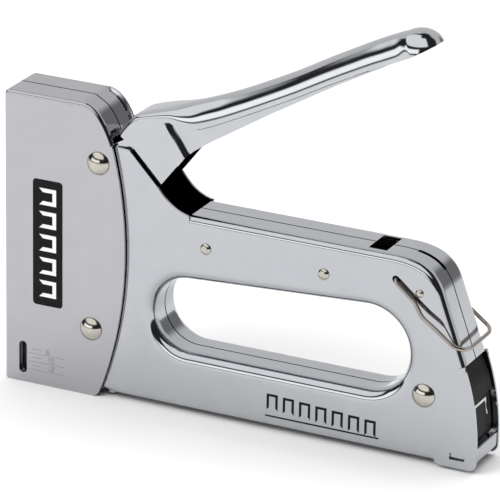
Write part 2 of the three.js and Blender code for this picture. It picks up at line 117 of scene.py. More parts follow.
world = bpy.data.worlds.new("studio_walls")
bpy.context.scene.world = world
world.use_nodes = True
walls = world.node_tree
walls.nodes.clear()
facing = node(walls, "SeparateXYZ", links={0: node(walls, "TexCoord").outputs["Generated"]})
backward = node(walls, "Math", {"operation": "MULTIPLY", 1: -1.0}, {0: facing.outputs["Y"]})
bearing = node(walls, "Math", {"operation": "ARCTAN2"}, {0: facing.outputs["X"], 1: backward})
turn = node(walls, "Math", {"operation": "DEGREES"}, {0: bearing})
rise = node(walls, "Math", {"operation": "ARCSINE"}, {0: facing.outputs["Z"]})
height = node(walls, "Math", {"operation": "DEGREES"}, {0: rise})
from_front = node(walls, "Math", {"operation": "ABSOLUTE"}, {0: turn})
back_turn = node(walls, "Math", {"operation": "MULTIPLY_ADD", 1: -1.0, 2: 180.0}, {0: from_front})
wall_slope = node(walls, "Math", {"operation": "MULTIPLY_ADD", 1: -1.3, 2: 134.0}, {0: back_turn})
wall_top = node(walls, "Math", {"operation": "MINIMUM", 1: 66.0}, {0: wall_slope})


def between(value, low_edge, high_edge, soft, within=1.0):
    """A mask, 1 inside a range of degrees and faded over soft degrees round its edges, times another."""
    mask = within
    for edge, sign in ((low_edge, 1), (high_edge, -1)):
        past = node(walls, "Math", {"operation": "SUBTRACT"}, {0: value, 1: edge})
        side = node(
            walls,
            "MapRange",
            {"interpolation_type": "SMOOTHSTEP", "From Min": -sign * soft, "From Max": sign * soft},
            {"Value": past},
        )
        mask = node(walls, "Math", {"operation": "MULTIPLY"}, {0: side, 1: mask})
    return mask


NADIR = -95                          # below the lowest direction, so this edge never shows
UNLIT, WALL_LIGHT, CARD_LIGHT, SOFTBOX_LIGHT, GROUND_LIGHT = 0.03, 0.82, 1.75, 1.3, 0.9
DOORWAY_SHADE = 0.72
back_wall = between(height, NADIR, wall_top, 2.5, between(back_turn, -5, 84, 3))
low_card = between(height, 4, 22, 3, between(turn, -66, 8, 5))
softbox = between(height, 33, 80, 3, between(turn, -112, 46, 4))
ground = between(height, NADIR, -1, 1)
doorway = between(height, -1, 27, 6, between(turn, 137, 165, 7))
door_light = node(walls, "Math", {"operation": "MULTIPLY_ADD", 1: -DOORWAY_SHADE, 2: 1.0}, {0: doorway})
dimmed_wall = node(walls, "Math", {"operation": "MULTIPLY"}, {0: back_wall, 1: door_light})
total = node(walls, "Math", {"operation": "MULTIPLY_ADD", 1: WALL_LIGHT, 2: UNLIT}, {0: dimmed_wall})
for mask, brightness in ((low_card, CARD_LIGHT), (softbox, SOFTBOX_LIGHT), (ground, GROUND_LIGHT)):
    glow = node(walls, "Math", {"operation": "MULTIPLY", 1: brightness}, {0: mask})
    total = node(walls, "Math", {"operation": "MAXIMUM"}, {0: total, 1: glow})
wall_shader = node(walls, "Background", {"Strength": 1.0}, {"Color": total})
node(walls, "OutputWorld", links={"Surface": wall_shader})

floor_mesh = bpy.data.meshes.new("studio_floor")
FLOOR_REACH, FLOOR_CELLS = 4.0, 8
line = np.linspace(-FLOOR_REACH, FLOOR_REACH, FLOOR_CELLS + 1)
floor_x, floor_y = np.meshgrid(line, line, indexing="ij")
floor_points = np.stack([floor_x, floor_y, np.full_like(floor_x, cad_box[0][2])], -1).reshape(-1, 3)
row = FLOOR_CELLS + 1
first = (np.arange(FLOOR_CELLS)[:, None] * row + np.arange(FLOOR_CELLS)).ravel()
floor_faces = np.stack([first, first + row, first + row + 1, first + 1], 1)
floor_mesh.from_pydata(floor_points.tolist(), [], floor_faces.tolist())
floor = bpy.data.objects.new("studio_floor", floor_mesh)
bpy.context.scene.collection.objects.link(floor)
paper, tree = new_material("matt_background_paper")
where = node(tree, "TexCoord").outputs["Object"]
grain = node(tree, "TexNoise", {"Scale": 900.0, "Detail": 4.0}, {"Vector": where})
bump = node(tree, "Bump", {"Strength": 0.02, "Distance": 0.0002}, {"Height": grain.outputs["Fac"]})
paper_settings = {"Base Color": srgb("F4F4F4"), "Roughness": 0.9, "Specular IOR Level": 0.1}
finish_material(tree, paper_settings, {"Normal": bump})
floor_mesh.materials.append(paper)


def look(direction, roll=0.0):
    """Euler angles that aim the local -Z axis along a direction with +Y up, then roll about it."""
    x, y, z = direction / np.linalg.norm(direction)
    aim = Matrix.Rotation(math.atan2(-x, y), 3, "Z") @ Matrix.Rotation(math.acos(-z), 3, "X")
    return (aim @ Matrix.Rotation(roll, 3, "Z")).to_euler()


def soft_light(name, place, target, size, watts, shape="RECTANGLE"):
    """An area light at a place, turned to look at a target; both in metres."""
    data = bpy.data.lights.new(name, "AREA")
    data.shape = shape
    data.size, data.size_y = size
    data.energy = watts
    lamp = bpy.data.objects.new(name, data)
    lamp.location = place
    lamp.rotation_euler = look(np.array(target) - np.array(place))
    lamp.visible_glossy = False
    bpy.context.scene.collection.objects.link(lamp)


soft_light("key_softbox", (-0.9, -1.3, 1.5), (0, 0, 0.05), (1.2, 1.2), 17, "ELLIPSE")
soft_light("overhead_fill", (0.3, 0.6, 2.4), (0, 0, 0), (2.6, 2.0), 34)

low, high = (np.array(corner) for corner in cad_box)
CAMERA_AZIMUTH = math.radians(25.69)
CAMERA_HEIGHT = math.radians(21.61)
CAMERA_ROLL = math.radians(1.018)
CAMERA_DISTANCE = 1.5997
CAMERA_LENS = 324.2
CAMERA_SHIFT = (-0.0071, 0.0213)
AIM_PAST_MIDDLE = 1.25 * MM
AIM_HEIGHT = 60 * MM
aim_at = np.array([(low[0] + high[0]) / 2 + AIM_PAST_MIDDLE, 0, low[2] + AIM_HEIGHT])
sight = np.array(
    [
        math.sin(CAMERA_AZIMUTH) * math.cos(CAMERA_HEIGHT),
        -math.cos(CAMERA_AZIMUTH) * math.cos(CAMERA_HEIGHT),
        math.sin(CAMERA_HEIGHT),
    ]
)
camera_data = bpy.data.cameras.new("camera")
camera_data.sensor_width = 36
camera_data.lens = CAMERA_LENS
camera_data.shift_x, camera_data.shift_y = CAMERA_SHIFT
camera_data.clip_end = 20
camera = bpy.data.objects.new("camera", camera_data)
camera.location = aim_at + sight * CAMERA_DISTANCE
camera.rotation_euler = look(-sight, CAMERA_ROLL)
bpy.context.scene.collection.objects.link(camera)
bpy.context.scene.camera = camera
bpy.context.scene.view_settings.view_transform = "Standard"

# ---------------------------------------------------------------- body shells
# Two mirrored pressings of chromed 0.9 mm sheet, joined by rivets. Each is a flat face with its
# edges rolled over into flanges that meet at the middle plane; the nose half hides under the cover.
NOSE_X = low[0] / MM                 # the frame's x, in millimetres, where this file's x is 0
LENGTH = (high[0] - low[0]) / MM
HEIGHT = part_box("nose_cover_left")[1][2] / MM
BODY_HALF = -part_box("body_shell_left")[0][1] / MM
COVER_HALF = -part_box("nose_cover_left")[0][1] / MM
GRIP_TOP = 76.3
BELLY = 2.0
TAIL_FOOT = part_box("body_shell_left")[0][2] / MM
SHEET = 0.9
SEAM_HALF = 0.3                      # half of the gap along the middle plane
ROLL = 2.8                           # outer radius of the rolled edges
FINGER_ROLL = 4.2
RECESS = 0.6                         # depth and width of the dished band behind the cover's edge
RECESS_BAND = 5.0
FACE_STEP = 2.4                      # spacing of the points that fill a flat face
EDGE_ARC = (-106.0, 57.0, 155.0)     # centre x, centre z and radius of the cover's rear edge
TAIL_WINDOW = (LENGTH - 5.7, 39.8)   # top of the opening for the end cap
HATCH = (142.5, 149.5)               # ends of the openings in the grip's top
KEY_SLOT = (158.5, 169.5)
THROAT = (74.2, GRIP_TOP)            # where the grip's top turns up towards the nose
BAIL_AT = (154.9, 67.8)
BAIL_HOLE = 1.45
NOSE_WINDOW = (6.0, 9.2, 3.5, 15.9, 1.59)
LATCH_SLOT = (LENGTH - 10.3, LENGTH - 4.4, 4.2, 6.8, 0.4)


def arc_x(z, grown=0.0):
    """x on the cover's rear edge at height z: cx + sqrt((R + grown)^2 - (z - cz)^2)."""
    return EDGE_ARC[0] + np.sqrt((EDGE_ARC[2] + grown) ** 2 - (np.asarray(z) - EDGE_ARC[1]) ** 2)


def bezier(a, b, c, d, count=14):
    """Points of a cubic: (1-t)^3 a + 3(1-t)^2 t b + 3(1-t) t^2 c + t^3 d."""
    t = np.linspace(0, 1, count)[:, None]
    a, b, c, d = (np.array(p, float) for p in (a, b, c, d))
    return (1 - t) ** 3 * a + 3 * (1 - t) ** 2 * t * b + 3 * (1 - t) * t * t * c + t**3 * d


def round_arc(x, z, radius, start, end, count):
    """Points (x + r cos a, z + r sin a) for a from start to end, in degrees."""
    angle = np.radians(np.linspace(start, end, count))
    return np.stack([x + radius * np.cos(angle), z + radius * np.sin(angle)], 1)


def divided(points, step):
    """The same open path with each stretch cut into equal parts no longer than step."""
    out = []
    for a, b in zip(points[:-1], points[1:]):
        parts = max(1, int(np.ceil(np.linalg.norm(b - a) / step)))
        out.append(a + (b - a) * (np.arange(parts) / parts)[:, None])
    return np.concatenate([*out, points[-1:]])


def path(*parts, step=1.5):
    """Points and arrays of points joined into one open path, repeats dropped, then divided."""
    points = np.concatenate([np.atleast_2d(np.array(p, float)) for p in parts])
    apart = np.linalg.norm(np.diff(points, axis=0), axis=1) > 1e-3
    return divided(points[np.concatenate([[True], apart])], step)


def outward(points, closed=False):
    """Unit normals (tz, -tx) on the right of a path, from central differences."""
    if closed:
        run = np.roll(points, -1, 0) - np.roll(points, 1, 0)
    else:
        run = np.gradient(points, axis=0)
    run = run / np.linalg.norm(run, axis=1)[:, None]
    return np.stack([run[:, 1], -run[:, 0]], 1)


def inside(points, loop):
    """True for each point inside a closed loop, by counting the edges that a ray crosses."""
    x, z = points[:, :1], points[:, 1:]
    x0, z0 = loop[:, 0], loop[:, 1]
    x1, z1 = np.roll(x0, -1), np.roll(z0, -1)
    rise = np.where(z1 == z0, 1e-12, z1 - z0)
    crosses = ((z0 > z) != (z1 > z)) & (x < x0 + (z - z0) * (x1 - x0) / rise)
    return crosses.sum(1) % 2 == 1


def distance_to(points, others):
    """Distance from each point to the nearest of the others."""
    return np.sqrt(((points[:, None, :] - others[None]) ** 2).sum(2).min(1))


def face_region(outer, holes, step, extra):
    """Triangles that fill a loop round its holes: a Delaunay net over a staggered lattice of a step.

    Returns (points, triangles); the loops' own points come first, in order, then the extra paths'.
    """
    edges, points = [], []
    start = 0
    for loop in (outer, *holes):
        index = start + np.arange(len(loop))
        edges.append(np.stack([index, np.roll(index, -1)], 1))
        points.append(loop)
        start += len(loop)
    for run in extra:
        run = run[inside(run, outer) & (distance_to(run, np.concatenate(points)) > 0.3)]
        for hole in holes:
            run = run[~inside(run, hole)]
        points.append(run)
    fixed = np.concatenate(points)
    (x0, z0), (x1, z1) = outer.min(0), outer.max(0)
    rows = np.arange(z0, z1, step * 0.866)
    lattice = []
    for i, z in enumerate(rows):
        along = np.arange(x0 + (i % 2) * step / 2, x1, step)
        lattice.append(np.stack([along, np.full_like(along, z)], 1))
    lattice = np.concatenate(lattice)
    keep = inside(lattice, outer)
    for hole in holes:
        keep &= ~inside(lattice, hole)
    lattice = lattice[keep]
    lattice = lattice[distance_to(lattice, fixed) > step * 0.55]
    everything = np.concatenate([fixed, lattice])
    made = geometry.delaunay_2d_cdt(everything.tolist(), np.concatenate(edges).tolist(), [], 0, 1e-5)
    verts = np.array([list(v) for v in made[0]])
    triangles = np.array(made[2])
    place = np.full(len(everything), -1)
    for vertex, sources in enumerate(made[3]):
        place[sources] = vertex
    order = np.full(len(verts), -1)
    order[place] = np.arange(len(everything))
    new = order < 0                  # a vertex is added where two edges of the loops cross
    order[new] = len(everything) + np.arange(new.sum())
    everything = np.concatenate([everything, verts[new]])
    middle = verts[triangles].mean(1)
    keep = inside(middle, outer)
    for hole in holes:
        keep &= ~inside(middle, hole)
    return everything, order[triangles[keep]]


class Net:
    """Vertices and faces gathered strip by strip for one mesh, in millimetres."""

    def __init__(self):
        self.points, self.faces = np.zeros((0, 3)), []

    def add(self, points):
        """Adds points and returns their indices."""
        start = len(self.points)
        self.points = np.concatenate([self.points, points])
        return start + np.arange(len(points))

    def strip(self, first, second, skip=None):
        """Joins two rows of vertices with four-sided faces, except where skip is true."""
        quads = np.stack([first[1:], first[:-1], second[:-1], second[1:]], 1)
        self.faces += quads[~skip].tolist() if skip is not None else quads.tolist()


def roll_edge(net, points, normals, start, y_face, radius, flange, gaps=(), sink=0.0):
    """Carries a pressed edge along a path of an outline.

    From each inset point: out by r sin a and in by r (1 - cos a) for a from 0 to 90 degrees, then
    straight to the flange's rows of y, which lie sink below the path from the second on. A gap
    (x0, x1, y) leaves the flange open beyond that y.
    """
    inset = points - normals * radius
    row = start
    for angle in np.radians(np.linspace(0, 90, 9)[1:]):
        out = inset + normals * radius * np.sin(angle)
        y = y_face + radius * (1 - np.cos(angle))
        above = net.add(np.stack([out[:, 0], y, out[:, 1]], 1))
        net.strip(row, above)
        row = above
    last = y_face + radius
    middle = (points[1:, 0] + points[:-1, 0]) / 2
    for index, target in enumerate(flange):
        y = np.full(len(points), float(target))
        depth = np.broadcast_to(sink if index else 0.0, len(points))
        at = points - normals * depth[:, None]
        above = net.add(np.stack([at[:, 0], y, at[:, 1]], 1))
        skip = np.zeros(len(middle), bool)
        for x0, x1, open_from in gaps:
            skip |= (middle > x0) & (middle < x1) & (last.mean() >= open_from - 0.01)
        net.strip(row, above, skip)
        row, last = above, y


def mesh_piece(name, points, faces, smooth=True):
    """An object at the origin from points in this file's millimetres, shaded smooth."""
    mesh = bpy.data.meshes.new(name)
    moved = (np.asarray(points) + [NOSE_X, 0, 0]) * MM
    mesh.from_pydata(moved.tolist(), [], faces)
    mesh.polygons.foreach_set("use_smooth", [smooth] * len(mesh.polygons))
    made = bpy.data.objects.new(name, mesh)
    bpy.context.scene.collection.objects.link(made)
    return made


SHARP = math.radians(50)


def weigh(made):
    """Sharpens open edges and edges over an angle, then weights normals by face size."""
    net = bmesh.new()
    net.from_mesh(made.data)
    for edge in net.edges:
        edge.smooth = not edge.is_boundary and edge.calc_face_angle(0) < SHARP
    net.to_mesh(made.data)
    net.free()
    weighted = made.modifiers.new("flat_faces", "WEIGHTED_NORMAL")
    weighted.keep_sharp = True


def thicken(made, thickness):
    """Gives a skin its sheet thickness inwards, and normals that leave flat faces flat."""
    solid = made.modifiers.new("sheet_thickness", "SOLIDIFY")
    solid.thickness = thickness * MM
    solid.offset = -1
    weigh(made)


def mirrored(points, faces):
    """The same net on the other side of the middle plane."""
    return points * [1, -1, 1], [face[::-1] for face in faces]


def pressing(edges, holes, y_of, radius, step, extra=()):
    """One pressed half: a flat face with rolled or cut edges.

    edges run anticlockwise as ("cut", path) or ("roll", path, flange rows, gaps, sink); holes are
    closed loops, run clockwise, as ("cut", loop) or ("roll", loop, flange rows, roll radius).
    """
    parts, spans = [], []
    count = 0
    for kind, points, *_ in edges:
        shown = points if kind == "cut" else points - outward(points) * radius
        if parts and np.linalg.norm(parts[-1][-1] - shown[0]) < 1e-3:
            spans.append(np.concatenate([[count - 1], count + np.arange(len(shown) - 1)]))
            shown = shown[1:]
        else:
            spans.append(count + np.arange(len(shown)))
        parts.append(shown)
        count += len(shown)
    outer = np.concatenate(parts)
    inner = []
    for kind, points, *more in holes:
        inner.append(points if kind == "cut" else points - outward(points, True) * more[1])
    flat, triangles = face_region(outer, inner, step, extra)
    net = Net()
    net.add(np.stack([flat[:, 0], y_of(flat[:, 0], flat[:, 1]), flat[:, 1]], 1))
    net.faces = triangles.tolist()
    for (kind, points, *more), span in zip(edges, spans):
        if kind == "roll":
            flange, gaps, *sink = more
            y_start = net.points[span, 1]
            roll_edge(net, points, outward(points), span, y_start, radius, flange, gaps, *sink)
    start = count
    for (kind, points, *more), loop in zip(holes, inner):
        if kind == "roll":
            around = np.append(np.arange(len(points)), 0)
            normals = outward(points, True)[around]
            span = start + around
            roll_edge(net, points[around], normals, span, net.points[span, 1], more[1], more[0])
        start += len(loop)
    return net.points, net.faces


def soft_step(x):
    """0 below 0 and 1 above 1, with a smooth rise 3x^2 - 2x^3 between."""
    x = np.clip(x, 0, 1)
    return x * x * (3 - 2 * x)


def shell_y(x, z):
    """The shell's outer face: flat, but dished by the recess in a band behind the cover's edge."""
    behind = np.hypot(x - EDGE_ARC[0], z - EDGE_ARC[1]) - EDGE_ARC[2]
    return -BODY_HALF + RECESS * (1 - soft_step(behind / RECESS_BAND))


def clockwise_slot(x0, x1, z0, z1, radius):
    """A clockwise rectangle with rounded corners."""
    left, right, bottom, top = x0 + radius, x1 - radius, z0 + radius, z1 - radius
    corners = ((left, bottom, 270), (left, top, 180), (right, top, 90), (right, bottom, 0))
    return np.concatenate([round_arc(x, z, radius, turn, turn - 90, 6) for x, z, turn in corners])


heel_x = float(arc_x(BELLY, 0.3)) + 1.0
step_x = LENGTH - 16
foot_r = 3.0
bottom_flange = (-7.2,)
top_flange = (-6.5, -4.4, -2.4, -0.9, -SEAM_HALF)
finger_flange = (-5.4, -3.7, -2.0, -SEAM_HALF)
under_cover = (1.2, 110.8, 2.9)      # front x, top z and bottom z of the half hidden by the cover
rear_inner = bezier((42.3, 96.6), (41.2, 101.2), (36.8, 109.8), (31.9, under_cover[1]))
shell_edges = [
    ("roll", path((heel_x, BELLY), (step_x, BELLY)), bottom_flange, ()),
    (
        "cut",
        path(
            (step_x, BELLY),
            (step_x + 2, TAIL_FOOT),
            round_arc(LENGTH - foot_r, TAIL_FOOT + foot_r, foot_r, -90, 0, 8),
            bezier((LENGTH, 10), (LENGTH, 20), (LENGTH - 2.3, 31), TAIL_WINDOW),
        ),
    ),
    (
        "roll",
        path(
            TAIL_WINDOW,
            bezier((LENGTH - 15.4, 66.3), (168.4, 74.7), (161, GRIP_TOP), (152, GRIP_TOP), 20),
            (HATCH[1], GRIP_TOP),
            (HATCH[0], GRIP_TOP),
            THROAT,
        ),
        top_flange,
        ((*HATCH, top_flange[0]), (*KEY_SLOT, top_flange[3])),
    ),
    (
        "cut",
        path(
            bezier(THROAT, (69.3, 77.1), (65.0, 80.1), (61.5, 85.2)),
            (50.6, 96.6),
            (49.4, 97.3),
            (43.9, 97.3),
            rear_inner,
            (under_cover[0], under_cover[1]),
            (under_cover[0], under_cover[2]),
            (heel_x - 0.5, under_cover[2]),
        ),
    ),
]
front_x, front_r, rear_x, rear_r, floor_z = 73.9, 14.0, LENGTH - 43.7, 16.0, 23.4
lean = math.degrees(2 * math.atan2(rear_r - front_r, rear_x - front_x))
finger_hole = divided(
    np.concatenate(
        [
            round_arc(rear_x, floor_z + rear_r, rear_r, 90 + lean, -90, 44),
            round_arc(front_x, floor_z + front_r, front_r, -90, -270 + lean, 40),
            round_arc(rear_x, floor_z + rear_r, rear_r, 90 + lean, 90 + lean, 1),
        ]
    ),
    1.5,
)[:-1]
shell_holes = [
    ("roll", finger_hole, finger_flange, FINGER_ROLL),
    ("cut", clockwise_slot(*NOSE_WINDOW)),
    ("cut", clockwise_slot(*LATCH_SLOT)),
    ("cut", round_arc(*BAIL_AT, BAIL_HOLE, 360, 0, 17)[:-1]),
]
band_heights = np.arange(4.5, 96.5, 1.8)
bands = [
    np.stack([arc_x(band_heights, grown), band_heights], 1)
    for grown in (0.0, 0.5, 1.1, 1.8, 2.6, 3.4, 4.2, 5.0, 5.8)
]
shell_net = pressing(shell_edges, shell_holes, shell_y, ROLL, FACE_STEP, bands)


def sheet_chrome(name, tint, worn):
    """Chromium plated on pressed steel: the plate follows the sheet's faint rolling ripple.

    Fine hairlines and a wiping haze break its gloss.
    """
    made, tree = new_material(name)
    where = node(tree, "TexCoord").outputs["Object"]
    ripple = node(tree, "TexNoise", {"Scale": 55.0, "Detail": 1.0}, {"Vector": where})
    stretched = node(tree, "Mapping", {"Scale": (60, 60, 2600)}, {"Vector": where})
    hairlines = node(tree, "TexNoise", {"Scale": 1.0, "Detail": 3.0}, {"Vector": stretched.outputs[0]})
    haze = node(tree, "TexNoise", {"Scale": 120.0, "Detail": 5.0}, {"Vector": where})
    gloss = node(
        tree,
        "MapRange",
        {"From Min": 0.3, "From Max": 0.7, "To Min": worn, "To Max": worn + 0.06},
        {"Value": haze.outputs["Fac"]},
    )
    tone = node(tree, "ValToRGB", links={"Fac": haze.outputs["Fac"]})
    ramp_stops(tone, [(0.3, srgb(tint)), (0.7, tuple(0.96 * c for c in srgb(tint)[:3]) + (1,))])
    waves = node(tree, "Bump", {"Strength": 0.10, "Distance": 0.0006}, {"Height": ripple.outputs["Fac"]})
    lines = node(
        tree,
        "Bump",
        {"Strength": 0.02, "Distance": 0.00005},
        {"Height": hairlines.outputs["Fac"], "Normal": waves.outputs[0]},
    )
    finish_material(tree, {"Metallic": 1.0}, {"Base Color": tone, "Roughness": gloss, "Normal": lines})
    return made


chrome = sheet_chrome("bright_chrome_on_pressed_steel", "B7B9BD", 0.06)


def both_halves(name, net, material, thickness):
    """The left pressing and its mirror image, each standing for its own node."""
    for side, (points, faces) in (("left", net), ("right", mirrored(*net))):
        made = mesh_piece(f"{name}_pressing_{side}", points, faces)
        thicken(made, thickness)
        made.data.materials.append(material)
        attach(made, "frame")
        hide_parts(f"{name}_{side}")


both_halves("body_shell", shell_net, chrome, SHEET)

# ---------------------------------------------------------------- nose covers
# Two mirrored outer pressings that wrap the nose; their bowed rear edge is cut, and the top, front
# and rear corner are folded in to the seam.
COVER_ROLL = 1.5
COVER_HEEL = 3.0                     # how far the lower rear corner is rounded off
REAR_CORNER = (43.55, 97.6)          # where the rear edge meets the folded rear corner
CORNER_SINK = 1.0                    # how far the folded corner lies below its own rolled edge
cover_flange = (-8.9, -8.6, -5, -2.5, -SEAM_HALF)
top_r = COVER_ROLL + 0.4
cover_back = path(
    bezier(REAR_CORNER, (42.2, 102.5), (38.8, HEIGHT - 0.8), (32.0, HEIGHT), 18),
    (top_r, HEIGHT),
    round_arc(top_r, HEIGHT - top_r, top_r, 90, 180, 8),
    (0, 0.6),
)
corner_sink = CORNER_SINK * soft_step((cover_back[:, 0] - 31.0) / 3.0)
arc_heights = np.linspace(COVER_HEEL, 99, 60)
rear_heel = bezier(
    (arc_x(0) - COVER_HEEL, 0), (arc_x(0) - 1.0, 0), (arc_x(1), 0.6), (arc_x(COVER_HEEL), COVER_HEEL), 8
)
cover_edges = [
    (
        "cut",
        path(
            (0.6, 0),
            rear_heel,
            np.stack([arc_x(arc_heights), arc_heights], 1)[:-2],
            REAR_CORNER,
        ),
    ),
    ("roll", cover_back, cover_flange, ((42.95, 50, -9.0),), corner_sink),
]
cover_holes = [("cut", clockwise_slot(*NOSE_WINDOW))]
cover_net = pressing(
    cover_edges, cover_holes, lambda x, z: np.full_like(x, -COVER_HALF), COVER_ROLL, FACE_STEP
)
cover_chrome = sheet_chrome("bright_chrome_on_the_nose_covers", "B1B0B4", 0.06)
both_halves("nose_cover", cover_net, cover_chrome, SHEET)

# ---------------------------------------------------------------- rivets
# Domed rivets of nickel-plated steel through both sides: three with big heads, two small ones and
# the bail's stop pin. They are headed cold, then barrel-plated, which leaves a fine mottling.


def ring_faces(rows, around):
    """Four-sided faces over rows of closed rings of points."""
    i, j = np.meshgrid(np.arange(rows - 1), np.arange(around), indexing="ij")
    a, b = (i * around + j).ravel(), (i * around + (j + 1) % around).ravel()
    return np.stack([a, b, b + around, a + around], 1).tolist()


def pole_faces(rows, around):
    """Three-sided faces from the first and the last ring to the two poles, which follow the rings."""
    j = np.arange(around)
    after, end = (j + 1) % around, (rows - 1) * around
    first = np.stack([after, j, np.full(around, rows * around)], 1)
    last = np.stack([end + j, end + after, np.full(around, rows * around + 1)], 1)
    return first.tolist() + last.tolist()


def turned(name, profile, x, z, around=48):
    """A body of revolution about y at (x, z): (x + r cos a, y, z + r sin a) for (r, y) in profile."""
    profile = np.array(profile, float)
    angle = np.linspace(0, 2 * math.pi, around, endpoint=False)
    r, y = profile[1:-1, :1], profile[1:-1, 1:]
    ring = np.stack([x + r * np.cos(angle), y + 0 * angle, z + r * np.sin(angle)], -1).reshape(-1, 3)
    rows = len(profile) - 2
    points = np.concatenate([ring, [[x, profile[0, 1], z], [x, profile[-1, 1], z]]])
    return mesh_piece(name, points, ring_faces(rows, around) + pole_faces(rows, around))


def rivet_profile(head, height, seat, shank):
    """(r, y) from the left pole to the right one: each head a round cap on a short rim, then the shank.

    The cap's radius is (head^2 + rise^2) / (2 rise), so that it meets the rim at the head's edge.
    """
    upright, rounding = 0.3, 0.12
    rise = height - upright
    ball = (head**2 + rise**2) / (2 * rise)
    lean = np.linspace(0, math.asin(head / ball), 14)
    dome = np.stack([ball * np.sin(lean), seat + height - ball + ball * np.cos(lean)], 1)
    rim = [[head, seat + rounding], [head - rounding, seat], [shank, seat]]
    half = np.concatenate([dome, rim])
    return np.concatenate([half * [1, -1], half[::-1]])


def plated_metal(name, tint, roughness, depth_mm):
    """Plate or drawn skin on small steel parts: a fine mottling in its tone, gloss and surface."""
    made, tree = new_material(name)
    where = node(tree, "TexCoord").outputs["Object"]
    mottle = node(tree, "TexNoise", {"Scale": 700.0, "Detail": 4.0}, {"Vector": where})
    gloss = node(
        tree,
        "MapRange",
        {"To Min": roughness - 0.05, "To Max": roughness + 0.08},
        {"Value": mottle.outputs["Fac"]},
    )
    tone = node(tree, "ValToRGB", links={"Fac": mottle.outputs["Fac"]})
    ramp_stops(tone, [(0.3, srgb(tint)), (0.7, tuple(0.9 * c for c in srgb(tint)[:3]) + (1,))])
    bump = node(
        tree, "Bump", {"Strength": 0.06, "Distance": depth_mm * MM}, {"Height": mottle.outputs["Fac"]}
    )
    finish_material(tree, {"Metallic": 1.0}, {"Base Color": tone, "Roughness": gloss, "Normal": bump})
    return made


nickel = plated_metal("nickel_plated_rivet_steel", "BFBBB2", 0.12, 0.03)
rivets = [  # head radius and height, the face it seats on, shank radius
    ("handle_pivot_rivet", 4.4, 2.6, COVER_HALF, 2.5),
    ("nose_rivet", 4.4, 2.6, COVER_HALF, 2.5),
    ("tail_rivet", 4.4, 2.6, BODY_HALF, 2.5),
    ("grip_rivet_front", 2.1, 1.25, BODY_HALF, 1.4),
    ("grip_rivet_rear", 2.1, 1.25, BODY_HALF, 1.4),
    ("bail_stop_pin", 1.5, 1.0, BODY_HALF, 1.1),
]
for name, *sizes in rivets:
    axis = (np.array(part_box(name)[0]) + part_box(name)[1]) / 2 / MM
    made = turned(name + "_plated", rivet_profile(*sizes), axis[0] - NOSE_X, axis[2])
    weigh(made)
    made.data.materials.append(nickel)
    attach(made, "frame")
    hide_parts(name)

# ---------------------------------------------------------------- handle
# One pressed and chromed lever: a proud front cheek on the pivot, a half-round arm with an inset
# skirt, and a domed spoon end, open below.
HANDLE_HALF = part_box("handle_lever")[1][1] / MM
HANDLE_SHEET = 1.2
HUB_R = 8.0
UNDER_ROLL = 0.45                    # how far below the roll the flat side has settled
JOGGLE = np.array([[63.6, 109.5], [71.3, 96.9]])   # its upper and lower end
JOGGLE_DEPTH = 1.3
JOGGLE_WIDTHS = (0.7, 2.2)           # at its upper end, and JOGGLE_LONG further down
JOGGLE_LONG = 14.0
pivot = (np.array(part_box("handle_pivot_rivet")[0]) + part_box("handle_pivot_rivet")[1]) / 2 / MM
PIVOT = pivot[[0, 2]] - [NOSE_X, 0]
# Stations along the arm: crest x, z, then the roll's lower edge x, z, the half width there and the
# squareness of the section, all measured from the pivot.
STATIONS = np.array([
    [6.1, 11.8, 8.9, 9.7, 8.3, 4.0],
    [8.1, 14.6, 10.9, 12.4, 8.4, 4.0],
    [10.6, 17.7, 13.4, 15.4, 8.5, 4.0],
    [12.6, 19.4, 14.9, 16.8, 8.5, 4.0],
    [15.2, 20.5, 16.7, 17.6, 8.5, 4.0],
    [19.8, 22.0, 21.0, 18.6, 8.5, 3.7],
    [26.0, 23.9, 27.8, 19.3, 8.5, 3.2],
    [31.0, 25.5, 33.4, 18.3, 8.3, 2.6],
    [36.0, 27.2, 38.9, 18.9, 8.0, 2.2],
    [44.0, 30.3, 47.4, 22.6, 7.9, 2.0],
    [52.7, 34.1, 56.4, 27.0, 7.9, 2.0],
    [63.0, 39.1, 66.9, 32.3, 7.9, 2.0],
    [73.3, 44.4, 77.3, 37.7, 7.9, 2.0],
    [86.2, 51.6, 90.2, 44.7, 7.8, 2.0],
    [99.7, 58.8, 103.8, 51.6, 7.7, 2.0],
    [107.0, 62.4, 111.2, 54.9, 7.7, 2.0],
    [111.4, 64.4, 115.6, 57.0, 7.8, 2.0],
    [113.8, 65.4, 118.0, 58.2, 8.3, 2.0],
])
# The domed end: its centre from the pivot, its half axes and the slope of its rim in degrees.
SPOON = {"centre": (118.0, 58.2), "long": 10.2, "wide": 8.45, "tall": 8.3, "tilt": 30.0}


def smooth_rows(rows, count):
    """Catmull-Rom rows through the given rows, spaced evenly along the first two columns.

    Between rows b and c: (2b + (c - a) t + (2a - 5b + 4c - d) t^2 + (3b - a - 3c + d) t^3) / 2.
    """
    ends = np.concatenate([2 * rows[:1] - rows[1:2], rows, 2 * rows[-1:] - rows[-2:-1]])
    far = np.concatenate([[0], np.cumsum(np.linalg.norm(np.diff(rows[:, :2], axis=0), axis=1))])
    along = np.linspace(0, far[-1], count)
    span = np.clip(np.searchsorted(far, along, "right") - 1, 0, len(rows) - 2)
    t = ((along - far[span]) / (far[span + 1] - far[span]))[:, None]
    a, b, c, d = (ends[span + k] for k in range(4))
    curved = (2 * a - 5 * b + 4 * c - d) * t**2 + (3 * b - a - 3 * c + d) * t**3
    return 0.5 * (2 * b + (c - a) * t + curved)


